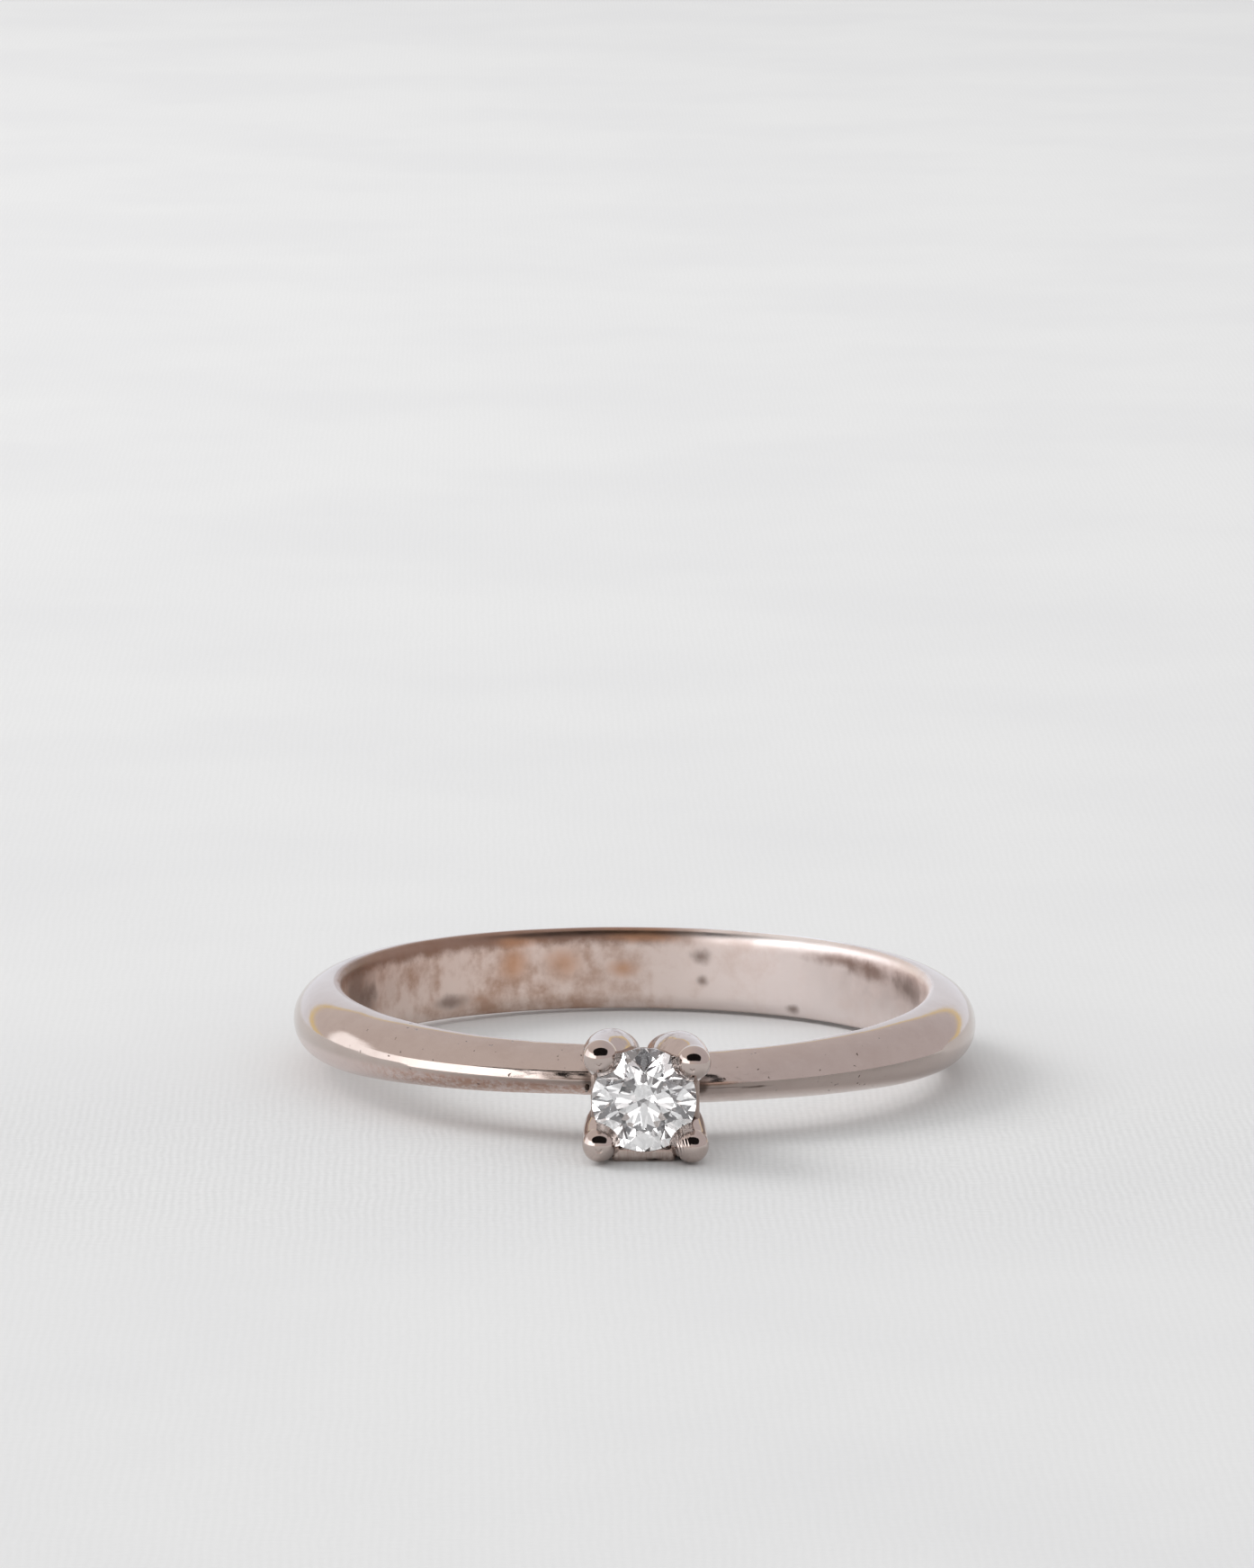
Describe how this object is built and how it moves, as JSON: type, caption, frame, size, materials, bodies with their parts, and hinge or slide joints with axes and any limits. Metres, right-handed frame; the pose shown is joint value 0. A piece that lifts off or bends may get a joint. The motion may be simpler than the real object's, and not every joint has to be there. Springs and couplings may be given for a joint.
{
  "type": "solitaire engagement ring",
  "caption": "Slim D-section band in white gold with a claw-set head that holds a round brilliant diamond.",
  "frame": {"origin": "centre of the finger hole, midway across the band", "axes": "+Z along the finger, +Y from the stone towards the back of the band, +X across"},
  "size_m": [0.02, 0.0235, 0.0036],
  "materials": {
    "band_gold": "worn polished white gold",
    "head_gold": "bright polished white gold",
    "solder_gold": "rough cast solder",
    "diamond": "clear faceted"
  },
  "bodies": {
    "root": {"shank": "band_gold", "solder_left": "solder_gold", "solder_right": "solder_gold", "claw_top_left": "head_gold", "claw_top_right": "head_gold", "claw_bottom_left": "head_gold", "claw_bottom_right": "head_gold", "rail_bottom": "head_gold", "rail_top": "head_gold", "rail_left": "head_gold", "rail_right": "head_gold", "base_collar": "head_gold", "diamond": "diamond"}
  },
  "joints": []
}
